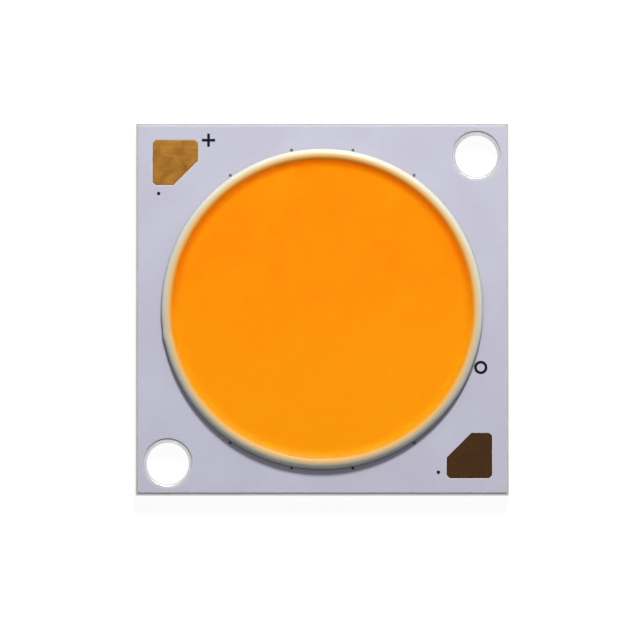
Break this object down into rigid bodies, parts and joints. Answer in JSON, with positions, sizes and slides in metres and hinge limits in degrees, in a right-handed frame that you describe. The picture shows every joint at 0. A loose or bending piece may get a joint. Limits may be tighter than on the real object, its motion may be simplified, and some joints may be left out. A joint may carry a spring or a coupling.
{
  "type": "chip-on-board led",
  "caption": "Square aluminium-core board with a round orange phosphor disc inside a white dam, corner screw holes and gold solder pads.",
  "frame": {"origin": "centre of the board's back face, which lies on the heat sink", "axes": "+Z is the way the light leaves, +Y points to the edge with the plus mark, and +X makes the set right-handed"},
  "size_m": [0.028, 0.028, 0.0018],
  "materials": {
    "aluminium_base": "brushed back, polished under the chips",
    "laminate_resin": "cut edge, matt",
    "copper_foil": "rolled copper foil, satin",
    "white_mask": "screen-printed white mask, matt, faint orange peel",
    "gold_plating": "immersion gold over nickel, satin with fine scratches",
    "dark_gold_plating": "immersion gold that mirrors a dark room, satin",
    "black_ink": "printed ink, matt",
    "white_silicone": "dispensed white silicone, semi-gloss",
    "phosphor_silicone": "silicone filled with yellow-orange phosphor, satin",
    "bonding_silicone": "clear die-bonding silicone, thin",
    "chip_crystal": "sapphire die, polished",
    "gold_wire": "drawn gold wire, bright"
  },
  "bodies": {
    "root": {"base_plate": "aluminium_base", "laminate": "laminate_resin", "anode_circuit": "copper_foil", "cathode_circuit": "copper_foil", "solder_mask": "white_mask", "anode_plating": "gold_plating", "cathode_plating": "dark_gold_plating", "plus_mark": "black_ink", "ring_mark": "black_ink", "index_dots": "black_ink", "dam_ticks": "black_ink", "dam": "white_silicone", "phosphor_gel": "phosphor_silicone", "die_attach": "bonding_silicone", "chip_string_01": "chip_crystal", "chip_string_02": "chip_crystal", "chip_string_03": "chip_crystal", "chip_string_04": "chip_crystal", "chip_string_05": "chip_crystal", "chip_string_06": "chip_crystal", "chip_string_07": "chip_crystal", "chip_string_08": "chip_crystal", "chip_string_09": "chip_crystal", "chip_string_10": "chip_crystal", "chip_string_11": "chip_crystal", "chip_string_12": "chip_crystal", "wire_string_01": "gold_wire", "wire_string_02": "gold_wire", "wire_string_03": "gold_wire", "wire_string_04": "gold_wire", "wire_string_05": "gold_wire", "wire_string_06": "gold_wire", "wire_string_07": "gold_wire", "wire_string_08": "gold_wire", "wire_string_09": "gold_wire", "wire_string_10": "gold_wire", "wire_string_11": "gold_wire", "wire_string_12": "gold_wire"}
  },
  "joints": []
}
